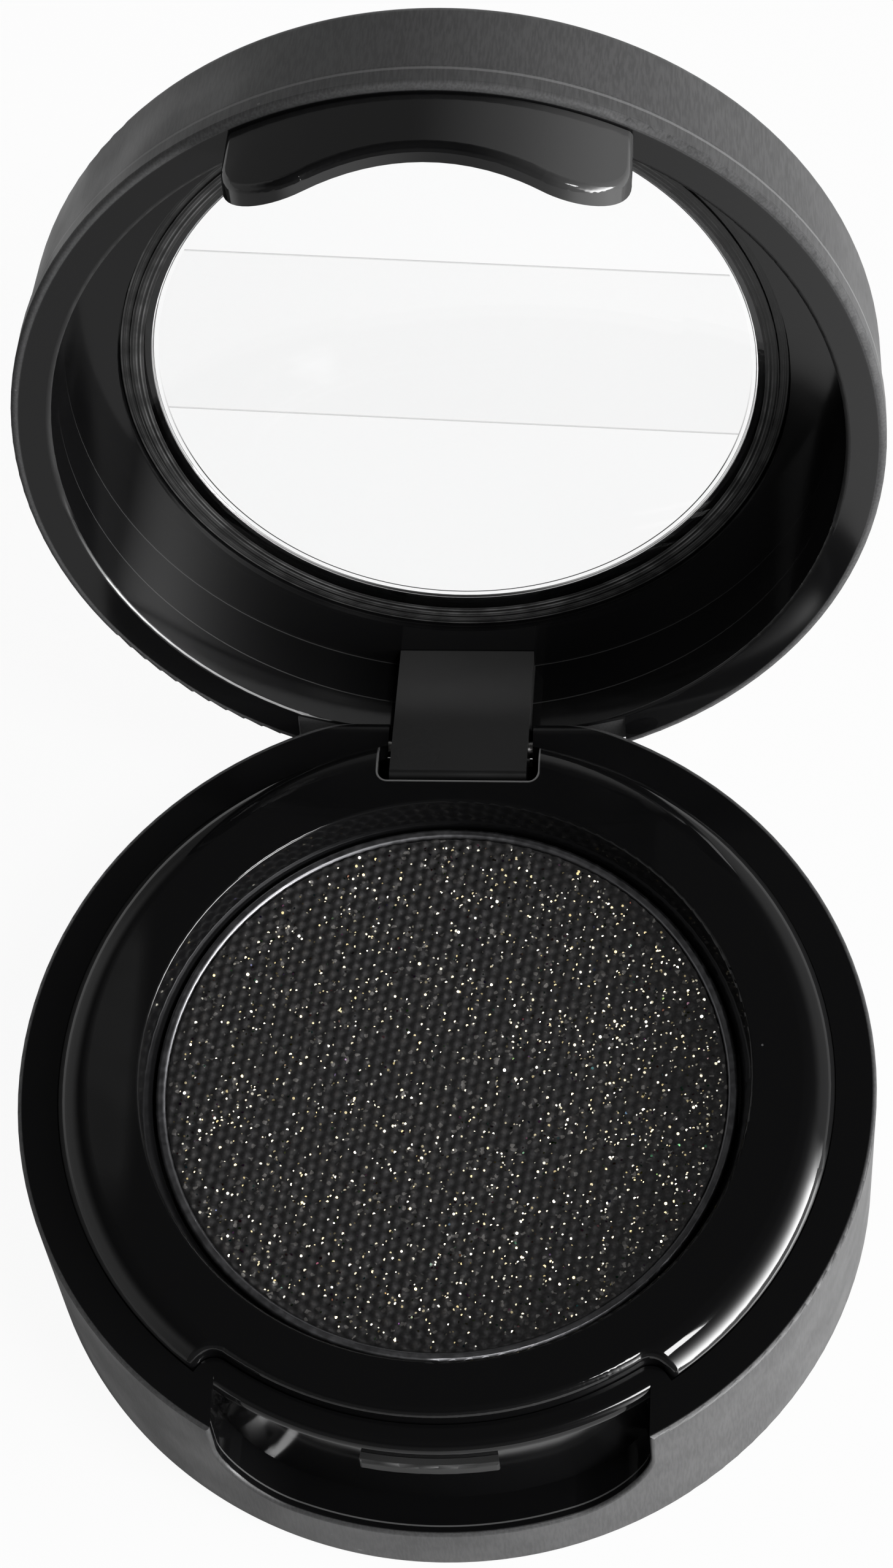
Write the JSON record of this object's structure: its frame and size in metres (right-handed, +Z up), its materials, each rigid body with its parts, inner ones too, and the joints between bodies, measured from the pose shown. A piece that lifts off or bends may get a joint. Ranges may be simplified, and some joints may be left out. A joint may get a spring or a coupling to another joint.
{
  "type": "eyeshadow compact",
  "caption": "Round pocket compact with a pan of pressed eyeshadow, a hinged lid with a clear window and a front clasp.",
  "frame": {"origin": "centre of the base's flat underside", "axes": "+Z up, +Y from the clasp to the hinge, +X along the hinge axis, to the right as seen from the clasp"},
  "size_m": [0.0384, 0.0542, 0.0439],
  "materials": {
    "shell_plastic": "satin moulded",
    "tray_plastic": "high gloss",
    "pan_metal": "pressed sheet, satin",
    "powder": "pressed powder with glitter",
    "adhesive": "glue pad",
    "pin_steel": "drawn wire",
    "lid_plastic": "satin outside, gloss inside",
    "window_clear": "clear polished",
    "label_film": "clear film"
  },
  "bodies": {
    "base": {"base_shell": "shell_plastic", "pan_tray": "tray_plastic", "powder_pan": "pan_metal", "powder_cake": "powder", "pan_adhesive": "adhesive", "hinge_pin": "pin_steel"},
    "lid": {"lid_shell": "lid_plastic", "lid_window": "window_clear", "window_label": "label_film"}
  },
  "joints": [
    {"name": "lid_hinge", "type": "hinge", "parent": "base", "child": "lid", "pos_m": [0, 0.0172, 0.00895], "axis": [1, 0, 0], "range_deg": [0, 108.1]}
  ]
}
